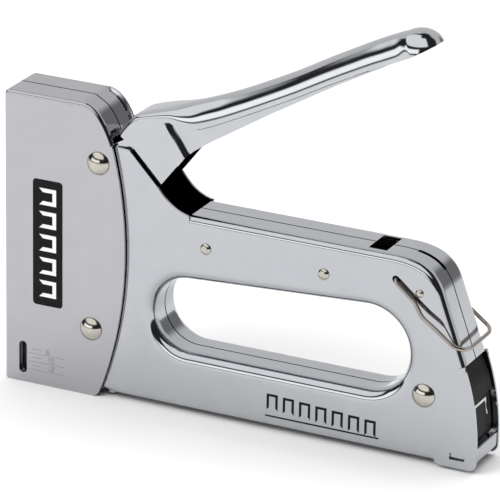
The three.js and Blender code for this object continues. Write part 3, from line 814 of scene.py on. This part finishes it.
arm = smooth_rows(STATIONS, 110)
tilt = math.radians(SPOON["tilt"])
rim_way = np.array([math.cos(tilt), math.sin(tilt)])
rim_up = np.array([-math.sin(tilt), math.cos(tilt)])
sweep = np.radians(np.concatenate([np.linspace(4, 84, 34), [87, 89, 89.8]]))
along = SPOON["long"] * np.sin(sweep)[:, None]
shrink = np.cos(sweep)[:, None]
rim = SPOON["centre"] + along * rim_way
crown = rim + SPOON["tall"] * shrink * rim_up
spoon = np.concatenate([crown, rim, SPOON["wide"] * shrink, np.full_like(along, 2.0)], 1)
rows = np.concatenate([arm, spoon])[::-1] + [*PIVOT, *PIVOT, 0, 0]
crest_line, roll_line, half_width, squareness = rows[:, :2], rows[:, 2:4], rows[:, 4], rows[:, 5]

skirt_line = np.array([
    [0, -HUB_R], [23.1, -5.6], [32.1, 6], [36, 9.7], [41.4, 13.5], [65.8, 28.8], [90.5, 43.4], [108.6, 53.4],
]) + PIVOT
hub = round_arc(*PIVOT, HUB_R, 60, 270, 24)
skirt_end = int(np.argmin(np.linalg.norm(roll_line - PIVOT - [115.2, 56.6], axis=1)))
joggle_way = (JOGGLE[1] - JOGGLE[0]) / np.linalg.norm(JOGGLE[1] - JOGGLE[0])


def handle_y(x, z):
    """The side: the cheek stands proud in front of the slanted joggle, the skirt is set in behind."""
    past = (x - JOGGLE[0, 0]) * -joggle_way[1] + (z - JOGGLE[0, 1]) * joggle_way[0]
    along = (x - JOGGLE[0, 0]) * joggle_way[0] + (z - JOGGLE[0, 1]) * joggle_way[1]
    wide = np.interp(along, [0, JOGGLE_LONG], JOGGLE_WIDTHS)
    return -HANDLE_HALF + JOGGLE_DEPTH * soft_step(past / wide)


side_loop = np.concatenate(
    [roll_line[skirt_end:], path(hub, skirt_line[1:], roll_line[skirt_end], step=1.2)[:-1]]
)
up_roll = (crest_line - roll_line)[skirt_end + 2:]
up_roll = up_roll / np.linalg.norm(up_roll, axis=1)[:, None]
under_roll = roll_line[skirt_end + 2:] - UNDER_ROLL * up_roll
flat, triangles = face_region(side_loop, [], 1.25, [under_roll[under_roll[:, 0] > JOGGLE[0, 0] - 0.6]])
side_y = handle_y(flat[:, 0], flat[:, 1])
shared = len(roll_line) - skirt_end
side_y[:shared] = -half_width[skirt_end:]
handle_net = Net()
handle_net.add(np.stack([flat[:, 0], side_y, flat[:, 1]], 1))
handle_net.faces = triangles.tolist()
# Above the side the section is a superellipse: half width cos^p a and rise sin^p a, p = 2 / squareness.
spoon_rim = np.stack([roll_line[:skirt_end, 0], -half_width[:skirt_end], roll_line[:skirt_end, 1]], 1)
row = np.concatenate([handle_net.add(spoon_rim), np.arange(shared)])
power = 2 / squareness
for share in np.linspace(0, 1, 21)[1:]:
    angle = share * math.pi / 2
    y = -half_width * np.cos(angle) ** power if share < 1 else 0 * half_width
    at = roll_line + (crest_line - roll_line) * (np.sin(angle) ** power)[:, None]
    above = handle_net.add(np.stack([at[:, 0], y, at[:, 1]], 1))
    handle_net.strip(row, above)
    row = above
other_half = mirrored(handle_net.points, handle_net.faces)
points = np.concatenate([handle_net.points, other_half[0]])
faces = handle_net.faces + [[i + len(handle_net.points) for i in face] for face in other_half[1]]
handle = mesh_piece("handle_lever_pressing", points, faces)


def weld(made, reach):
    """Merges vertices that lie within a reach of each other, in millimetres."""
    net = bmesh.new()
    net.from_mesh(made.data)
    bmesh.ops.remove_doubles(net, verts=net.verts, dist=reach * MM)
    net.to_mesh(made.data)
    net.free()


weld(handle, 0.02)                   # joins the halves along the crest
thicken(handle, HANDLE_SHEET)
handle_chrome = sheet_chrome("polished_chrome_on_the_lever", "BABCBF", 0.04)
handle.data.materials.append(handle_chrome)
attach(handle, "handle")
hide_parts("handle_lever")

# ---------------------------------------------------------------- bail
# A bent spring-steel wire on two inturned ends in the shells; it swings up over the handle.


def rounded_path(corners, radius, count=6):
    """A 3-D path through corners, each replaced by a quadratic curve that starts a radius away."""
    corners = [np.array(c, float) for c in corners]
    out = [corners[0][None]]
    for before, here, after in zip(corners[:-2], corners[1:-1], corners[2:]):
        to_a, to_b = before - here, after - here
        reach = min(radius, 0.45 * np.linalg.norm(to_a), 0.45 * np.linalg.norm(to_b))
        a, b = here + to_a / np.linalg.norm(to_a) * reach, here + to_b / np.linalg.norm(to_b) * reach
        t = np.linspace(0, 1, count)[:, None]
        out.append((1 - t) ** 2 * a + 2 * (1 - t) * t * here + t * t * b)
    return np.concatenate([*out, corners[-1][None]])


def wire(name, line, radius, around=16):
    """A round wire: circles carried along a line on frames that turn as little as they can."""
    run = np.gradient(line, axis=0)
    run /= np.linalg.norm(run, axis=1)[:, None]
    side = np.cross(run[0], [0.31, 0.17, 0.93])      # any direction across the wire's start
    rings = []
    angle = np.linspace(0, 2 * math.pi, around, endpoint=False)[:, None]
    for here, way in zip(line, run):
        side = side - way * (side @ way)
        side /= np.linalg.norm(side)
        other = np.cross(way, side)
        rings.append(here + radius * (np.cos(angle) * side + np.sin(angle) * other))
    points = np.concatenate([*rings, line[:1], line[-1:]])
    return mesh_piece(name, points, ring_faces(len(line), around) + pole_faces(len(line), around))


BEND, WIRE_R = 1.6, 0.75
bail_half = np.array([
    [BAIL_AT[0], 7.6, BAIL_AT[1]], [BAIL_AT[0], 10.6, BAIL_AT[1]], [155.5, 11.3, 67.2],
    [162.7, 11.3, 61.2], [166.3, 13.0, 57.0], [172.2, 13.3, 53.2],
    [178.9, 13.3, 48.2], [181.7, 11.7, 47.2], [183.1, 8.3, 46.8],
])
bail_corners = np.concatenate([bail_half * [1, -1, 1], bail_half[::-1]])
bail = wire("bail_wire", rounded_path(bail_corners, BEND), WIRE_R)
weigh(bail)
wire_steel = plated_metal("drawn_spring_steel_wire", "A79F98", 0.16, 0.02)
bail.data.materials.append(wire_steel)
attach(bail, "bail")
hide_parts("handle_bail")

# ---------------------------------------------------------------- tail block
# The moulded black end of the staple rail with its finger ledge, and the chromed latch tab below,
# folded from sheet, with the two ears that catch in the shells' latch slots.


def loft(name, rings):
    """Closed rings of equal count joined into a body, with a face on each end ring."""
    rows, around, _ = rings.shape
    ends = [list(range(around))[::-1], [(rows - 1) * around + k for k in range(around)]]
    return mesh_piece(name, rings.reshape(-1, 3), ring_faces(rows, around) + ends)


cap_low, cap_high = (np.array(corner) / MM - [NOSE_X, 0, 0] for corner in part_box("rail_end_cap"))
LEDGE = 1.5                          # how far the cap's lower field lies in behind its ledge
END_ROUND, CAP_CORNER, FRONT_CHAMFER = 0.35, 0.9, 0.3
edge = bezier((LENGTH - 0.8, 9.7), (LENGTH - 0.8, 20), (LENGTH - 3.1, 31), (LENGTH - 6.5, 39.2), 60)
cap_z = np.concatenate([
    [cap_low[2], cap_low[2] + 0.15, cap_low[2] + 0.5], np.linspace(cap_low[2] + 1, 24, 16),
    np.linspace(24.4, 28.6, 18), np.linspace(29.4, cap_high[2] - 0.6, 12), [cap_high[2] - 0.2, cap_high[2]],
])
cap_x = np.interp(cap_z, edge[:, 1], edge[:, 0])
ledge = LEDGE * (1 - soft_step((cap_z - 25.2) / 1.0)) + 0.5 * soft_step((cap_z - 30) / 8)
ease = np.minimum(1, np.minimum(cap_z - cap_low[2], cap_high[2] - cap_z) / 0.5)
rings = []
for z, x_end, sink, full in zip(cap_z, cap_x, ledge, ease):
    inset = END_ROUND * (1 - full)
    rear, half, front = x_end - sink - inset, cap_high[1] - inset, cap_low[0] + inset
    chamfered = front + FRONT_CHAMFER
    short = half - FRONT_CHAMFER
    ring = np.concatenate([
        round_arc(rear - CAP_CORNER, half - CAP_CORNER, CAP_CORNER, 0, 90, 7),
        [[chamfered, half], [front, short], [front, -short], [chamfered, -half]],
        round_arc(rear - CAP_CORNER, -half + CAP_CORNER, CAP_CORNER, -90, 0, 7),
    ])
    rings.append(np.column_stack([ring, np.full(len(ring), z)]))
cap = loft("rail_end_cap_moulding", np.array(rings))
weigh(cap)


def moulded_plastic(name, tint):
    """Injection-moulded black plastic from a spark-eroded tool: a fine even grain, slightly glossy."""
    made, tree = new_material(name)
    where = node(tree, "TexCoord").outputs["Object"]
    grain = node(tree, "TexNoise", {"Scale": 2600.0, "Detail": 3.0}, {"Vector": where})
    flow = node(tree, "TexNoise", {"Scale": 140.0, "Detail": 2.0}, {"Vector": where})
    gloss = node(tree, "MapRange", {"To Min": 0.3, "To Max": 0.42}, {"Value": flow.outputs["Fac"]})
    bump = node(tree, "Bump", {"Strength": 0.15, "Distance": 0.00003}, {"Height": grain.outputs["Fac"]})
    tone = node(tree, "ValToRGB", links={"Fac": flow.outputs["Fac"]})
    ramp_stops(tone, [(0.3, srgb(tint)), (0.7, tuple(1.25 * c for c in srgb(tint)[:3]) + (1,))])
    links = {"Base Color": tone, "Roughness": gloss, "Normal": bump}
    finish_material(tree, {"Specular IOR Level": 0.07}, links)
    return made


black = moulded_plastic("black_moulded_plastic", "080709")
cap.data.materials.append(black)
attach(cap, "staple_drawer")
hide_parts("rail_end_cap")


def prisms(name, outlines, place, inner, outer):
    """Flat prisms: each anticlockwise outline at two depths, its sides joined.

    place maps a point (a, b) of an outline and a depth to x, y, z.
    """
    points, faces = [], []
    for outline in outlines:
        count, start = len(outline), sum(len(p) for p in points)
        for depth in (inner, outer):
            points.append(np.array([place(a, b, depth) for a, b in outline]))
        k = np.arange(count)
        a, b = start + k, start + (k + 1) % count
        faces += np.stack([a, b, b + count, a + count], 1).tolist()
        faces += [a[::-1].tolist(), (a + count).tolist()]
    return mesh_piece(name, np.concatenate(points), faces, smooth=False)


tab_low, tab_high = (np.array(corner) / MM - [NOSE_X, 0, 0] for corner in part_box("rail_latch_tab"))
TAB_BEND, TAB_SHEET, TAB_FOOT = 1.4, 1.0, 4.0
bend_x, bend_z, foot_x = tab_high[0] - TAB_BEND, tab_low[2] + TAB_BEND, tab_high[0] - TAB_FOOT
profile = np.concatenate([
    [[foot_x, tab_low[2]]],
    round_arc(bend_x, bend_z, TAB_BEND, -90, 0, 8),
    round_arc(tab_high[0] - TAB_SHEET / 2, tab_high[2] - TAB_SHEET / 2, TAB_SHEET / 2, 0, 180, 7),
    round_arc(bend_x, bend_z, TAB_BEND - TAB_SHEET, 0, -90, 6),
    [[foot_x, tab_low[2] + TAB_SHEET]],
])
rings = [
    np.stack([profile[:, 0], np.full(len(profile), y), profile[:, 1]], 1)
    for y in np.linspace(tab_low[1], tab_high[1], 9)
]
tab = loft("rail_latch_tab_pressing", np.array(rings))
weigh(tab)
tab.data.materials.append(chrome)
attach(tab, "staple_drawer")
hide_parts("rail_latch_tab")

EAR_IN, EAR_THICK, EAR_LAP, EAR_CORNER = 8.2, 0.8, 0.8, 0.9
x0, x1, z0, z1 = LATCH_SLOT[:4]
ear = clockwise_slot(x0 - EAR_LAP - 0.1, x1 + EAR_LAP, z0 - EAR_LAP, z1 + EAR_LAP, EAR_CORNER)
for name, side in (("rail_latch_ear_left", -1), ("rail_latch_ear_right", 1)):
    made = prisms(name, [ear[::side]], lambda a, b, depth: (a, side * (EAR_IN + depth), b), 0, EAR_THICK)
    made.data.materials.append(chrome)
    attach(made, "staple_drawer")

# ---------------------------------------------------------------- printed and stamped marks
# Generic marks only: a black panel and a row of staples in pad-printed ink, the leg lengths stamped
# beside the staple window, drawn as grey lines of painted shade for their grooves, and a staple on the
# end cap. Each lies a few hundredths proud.
INK, INK_ROOT = 0.04, -0.02          # how far a mark stands out, and how far it reaches in


def bar(x0, x1, z0, z1):
    """A rectangle, anticlockwise."""
    return [(x0, z0), (x1, z0), (x1, z1), (x0, z1)]


def staple_mark(x, z, wide, tall, stroke):
    """A staple seen from the front, crown up, its lower left corner at (x, z)."""
    a, b, top = x + stroke, x + wide - stroke, z + tall
    return [(x, z), (a, z + stroke), (a, top - stroke), (b, top - stroke), (b, z + stroke), (x + wide, z),
            (x + wide, top), (x, top)]


def digit_bars(figure, x, z, wide, tall, stroke):
    """A figure built of straight strokes: top, middle, bottom and the four uprights."""
    half = tall / 2
    strokes = {
        "t": bar(x, x + wide, z + tall - stroke, z + tall),
        "m": bar(x, x + wide, z + half - stroke / 2, z + half + stroke / 2),
        "b": bar(x, x + wide, z, z + stroke),
        "q": bar(x, x + stroke, z + half, z + tall),
        "p": bar(x + wide - stroke, x + wide, z + half, z + tall),
        "d": bar(x, x + stroke, z, z + half),
        "e": bar(x + wide - stroke, x + wide, z, z + half),
    }
    return [strokes[key] for key in {"0": "tbqpde", "1": "pe", "2": "tmbpd", "6": "tmbqde"}[figure]]


def printed_ink(name, tint, roughness):
    """Pad-printed ink, in grey also the painted shade of stamped lines: thin and even, its gloss broken by a
    fine grain and a few faint rubbed spots.
    """
    made, tree = new_material(name)
    where = node(tree, "TexCoord").outputs["Object"]
    grain = node(tree, "TexNoise", {"Scale": 3000.0, "Detail": 2.0}, {"Vector": where})
    rubbed = node(tree, "TexNoise", {"Scale": 260.0, "Detail": 5.0}, {"Vector": where})
    tone = node(tree, "ValToRGB", links={"Fac": rubbed.outputs["Fac"]})
    ramp_stops(tone, [(0.3, srgb(tint)), (0.75, tuple(0.9 * c + 0.004 for c in srgb(tint)[:3]) + (1,))])
    gloss = node(
        tree, "MapRange", {"To Min": roughness, "To Max": roughness + 0.15}, {"Value": grain.outputs["Fac"]}
    )
    finish_material(tree, {"Specular IOR Level": 0.15}, {"Base Color": tone, "Roughness": gloss})
    return made


def on_cover(a, b, depth):
    """A point on the left cover's face, depth out from it."""
    return (a, -COVER_HALF - depth, b)


def on_shell(a, b, depth):
    """A point on the left shell's face, depth out from it."""
    return (a, -BODY_HALF - depth, b)


def on_cap(a, b, depth):
    """A point on the end cap's lower field, depth out from it; a runs across the gun."""
    return (float(np.interp(b, edge[:, 1], edge[:, 0])) - LEDGE + depth, a, b)


black_ink = printed_ink("black_pad_print_ink", "060607", 0.4)
white_ink = printed_ink("white_pad_print_ink", "F2F2F0", 0.4)
# Painted shade: a grey coat of the ink that stands for the shade in the stamped leg-length lines.
stamped_line_shade = printed_ink("stamped_line_shadow", "8D9092", 0.5)
PANEL = (11.8, 23.9, 31.5, 80.2)     # its x and z edges
PANEL_PITCH, ROW_PITCH, ROW_DROP = 8.9, 6.4, 0.35
LEG_SIZES = {"12": 5.3, "10": 8.5, "6": 11.7}       # each figure's line, by its height
panel_loop = clockwise_slot(*PANEL, 1.4)[::-1]
panel_staples = [
    [(PANEL[0] + 2.6 + (b - z), a) for a, b in staple_mark(z, z, 6.4, 6.9, 1.5)][::-1]
    for z in np.arange(PANEL[2] + 3.4, PANEL[3] - 8, PANEL_PITCH)
]
row_staples = [
    staple_mark(x, 8.6 - ROW_DROP * i, 4.4, 6.2, 0.95) for i, x in enumerate(np.arange(106, 146, ROW_PITCH))
]
row_staples.append(bar(105.5, 150, 6.0, 6.6))
sizes = []
for text, z in LEG_SIZES.items():
    sizes += [bar(10.2, 24.5, z, z + 0.22), bar(11.4, 15.2, z + 1.6, z + 1.85)]
    for i, figure in enumerate(text):
        sizes += digit_bars(figure, 17.2 + 1.9 * i, z + 0.65, 1.3, 2.0, 0.26)
cap_staple = [staple_mark(-5.2, 17.2, 10.4, 6.4, 0.9)]
for name, outlines, place, depth, material, body in (
    ("cover_panel_print", [panel_loop], on_cover, INK, black_ink, "frame"),
    ("cover_panel_staples_print", panel_staples, on_cover, 1.5 * INK, white_ink, "frame"),
    ("belly_staple_row_print", row_staples, on_shell, INK, black_ink, "frame"),
    # the stamped lines and figures, painted as grey shade a few hundredths proud
    ("leg_size_stamping_shade", sizes, on_cover, INK / 2, stamped_line_shade, "frame"),
    ("end_cap_staple_print", cap_staple, on_cap, INK, white_ink, "staple_drawer"),
):
    made = prisms(name, outlines, place, INK_ROOT, depth)
    made.data.materials.append(material)
    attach(made, body)

# ---------------------------------------------------------------- inner works
# Kept from the CAD: zinc-plated steel stampings, bright wire, oil-tempered springs and a rubber stop.
zinc = plated_metal("zinc_plated_steel", "A9AAA8", 0.34, 0.1)
bright = plated_metal("bright_drawn_wire", "C2C4C6", 0.22, 0.02)
spring = plated_metal("oil_tempered_spring_steel", "77787A", 0.3, 0.03)
rubber = moulded_plastic("black_rubber", "1C1B1B")
KEPT = {
    zinc: ("lifting_arm", "hammer", "driver_blade", "spring_cap", "hammer_guide", "nose_foot_plate",
           "staple_track", "staple_rail", "pusher"),
    bright: ("pusher_rod", "staple_strip"),
    spring: ("handle_return_spring", "main_spring", "pusher_spring"),
    rubber: ("rubber_stop",),
}
for material, names in KEPT.items():
    for name in names:
        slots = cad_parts[name].data.materials
        for index in range(len(slots)):
            slots[index] = material
